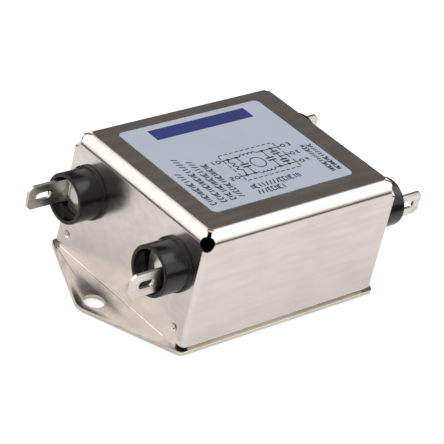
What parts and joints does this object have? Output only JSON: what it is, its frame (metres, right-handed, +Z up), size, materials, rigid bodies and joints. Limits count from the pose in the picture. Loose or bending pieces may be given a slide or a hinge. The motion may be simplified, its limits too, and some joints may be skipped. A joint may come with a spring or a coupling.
{
  "type": "emi line filter",
  "caption": "Single-phase mains line filter in a folded steel case with a flanged base and push-on blade terminals in black collars.",
  "frame": {"origin": "centre of the base plate's underside", "axes": "+X along the case towards the output end, +Z up out of the base plate"},
  "size_m": [0.0934, 0.0502, 0.0327],
  "materials": {
    "case_steel": "bright plated sheet steel, smooth, fine grain",
    "label_film": "satin silver film with a dark blue bar",
    "collar_black": "black moulded plastic, glossy",
    "blade_metal": "tin-plated strip, lightly dulled",
    "rivet_metal": "plated rivet, bright",
    "washer_board": "laminated insulating board, tan",
    "tag_metal": "tinned strip",
    "tray_plastic": "natural moulded plastic",
    "board_laminate": "single-sided laminate",
    "core_grey": "sintered ferrite with a matt coat",
    "divider_plastic": "white moulded plastic",
    "winding_wire": "enamelled copper wire",
    "x_capacitor_case": "yellow boxed film capacitor",
    "y_capacitor_case": "blue boxed film capacitor",
    "resistor_body": "tan lacquered resistor",
    "link_metal": "tinned copper wire"
  },
  "bodies": {
    "root": {"cover": "case_steel", "base_plate": "case_steel", "label": "label_film", "collar_1": "collar_black", "collar_2": "collar_black", "collar_3": "collar_black", "collar_4": "collar_black", "blade_1": "blade_metal", "blade_2": "blade_metal", "blade_3": "blade_metal", "blade_4": "blade_metal", "earth_blade": "blade_metal", "terminal_rivets": "rivet_metal", "earth_rivet": "rivet_metal", "inner_washer_1": "washer_board", "inner_washer_2": "washer_board", "inner_washer_3": "washer_board", "inner_washer_4": "washer_board", "solder_tag_1": "tag_metal", "solder_tag_2": "tag_metal", "solder_tag_3": "tag_metal", "solder_tag_4": "tag_metal", "earth_solder_tag": "tag_metal", "insulating_tray": "tray_plastic", "circuit_board": "board_laminate", "ring_core": "core_grey", "core_divider": "divider_plastic", "line_winding": "winding_wire", "neutral_winding": "winding_wire", "input_x_capacitor": "x_capacitor_case", "output_x_capacitor": "x_capacitor_case", "line_y_capacitor": "y_capacitor_case", "neutral_y_capacitor": "y_capacitor_case", "bleed_resistor": "resistor_body", "link_wire_1": "link_metal", "link_wire_2": "link_metal", "link_wire_3": "link_metal", "link_wire_4": "link_metal", "earth_link_wire": "link_metal"}
  },
  "joints": []
}
